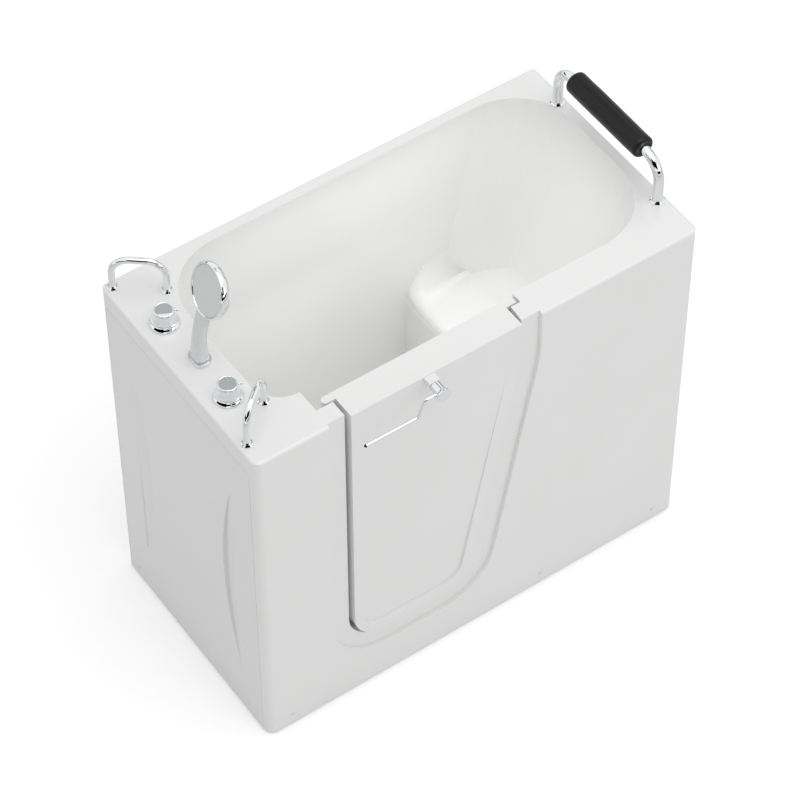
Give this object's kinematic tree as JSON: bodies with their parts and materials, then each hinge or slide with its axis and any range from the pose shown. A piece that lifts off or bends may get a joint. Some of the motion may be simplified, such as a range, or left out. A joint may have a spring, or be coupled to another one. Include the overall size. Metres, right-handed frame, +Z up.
{
  "type": "walk-in bathtub",
  "caption": "Deep walk-in bathtub with an inward-swinging door, seat, lever latch, taps, hand shower, grab bars and padded head bar",
  "frame": {"origin": "on the floor under the middle of the tub, at the underside of the middle levelling foot", "axes": "+X runs along the tub from the tap end to the head end, +Y from the door side to the back, +Z up"},
  "size_m": [1.205, 0.6903, 1.2878],
  "materials": {
    "acrylic_white": "glossy moulded acrylic",
    "panel_white": "glossy formed sheet",
    "frame_steel": "satin stainless tube",
    "stainless": "satin stainless",
    "rubber_black": "matt",
    "screw_white": "white cap-coloured paint",
    "chrome": "polished",
    "foam_black": "soft foam with a fine leather-like skin",
    "brass_body": "machined",
    "pipe_white": "satin",
    "handset_satin": "light satin grey",
    "spray_grey": "satin with soft nozzles",
    "seal_grey": "soft silicone"
  },
  "bodies": {
    "tub": {"tub_shell": "acrylic_white", "end_panel_left": "panel_white", "end_panel_right": "panel_white", "frame_long_rails": "frame_steel", "frame_cross_rails": "frame_steel", "frame_bearers": "frame_steel", "frame_posts": "frame_steel", "seat_posts": "frame_steel", "seat_rail": "frame_steel", "foot_plates": "frame_steel", "foot_studs": "stainless", "foot_nuts": "stainless", "foot_pads": "rubber_black", "skirt_screws": "screw_white", "grab_bar_rear": "chrome", "grab_bar_front": "chrome", "grab_bar_flanges": "chrome", "grab_bar_nuts": "stainless", "pillow_bar": "chrome", "pillow_bar_flanges": "chrome", "pillow_bar_nuts": "stainless", "pillow_sleeve": "foam_black", "tap_valves": "brass_body", "tap_flanges": "chrome", "shower_holder": "chrome", "shower_holder_nut": "pipe_white", "hinge_brackets": "stainless", "hinge_screws": "stainless", "latch_keeper": "stainless", "drain_body": "chrome", "drain_cross": "stainless", "drain_nut": "pipe_white", "overflow_cover": "chrome", "overflow_elbow": "pipe_white", "overflow_pipe": "pipe_white"},
    "door": {"door_outer_shell": "acrylic_white", "door_inner_shell": "acrylic_white", "door_gasket": "seal_grey", "hinge_pins": "stainless", "latch_bush": "stainless", "latch_carrier": "stainless", "latch_guide": "panel_white"},
    "lever": {"latch_spindle": "stainless", "latch_sector": "stainless", "lever_barrel": "chrome", "lever_rod": "chrome", "lever_tip": "rubber_black"},
    "bolt": {"latch_bolt": "stainless"},
    "hot_tap": {"hot_knob": "chrome"},
    "cold_tap": {"cold_knob": "chrome"},
    "handset": {"shower_body": "handset_satin", "shower_back_disc": "handset_satin", "shower_spray_plate": "spray_grey"},
    "plug": {"drain_plug": "chrome"}
  },
  "joints": [
    {"name": "door_swing", "type": "hinge", "parent": "tub", "child": "door", "pos_m": [-0.372, -0.246, 0.6], "axis": [0, 0, 1], "range_deg": [0, 85]},
    {"name": "lever_turn", "type": "hinge", "parent": "door", "child": "lever", "pos_m": [-0.146, -0.33, 1.005], "axis": [0, -1, 0], "range_deg": [0, 90]},
    {"name": "bolt_slide", "type": "slide", "parent": "door", "child": "bolt", "axis": [1, 0, 0], "range_m": [0, 0.01885]},
    {"name": "hot_turn", "type": "hinge", "parent": "tub", "child": "hot_tap", "pos_m": [-0.539, 0.139, 1.05], "axis": [0, 0, 1], "range_deg": [0, 90]},
    {"name": "cold_turn", "type": "hinge", "parent": "tub", "child": "cold_tap", "pos_m": [-0.539, -0.118, 1.05], "axis": [0, 0, 1], "range_deg": [0, 90]},
    {"name": "handset_lift", "type": "slide", "parent": "tub", "child": "handset", "axis": [0, 0, 1], "range_m": [0, 0.12]},
    {"name": "plug_lift", "type": "slide", "parent": "tub", "child": "plug", "axis": [0, 0, 1], "range_m": [0, 0.012]}
  ],
  "couplings": [
    {"joint": "bolt_slide", "follows": "lever_turn", "m_per_rad": 0.012}
  ]
}
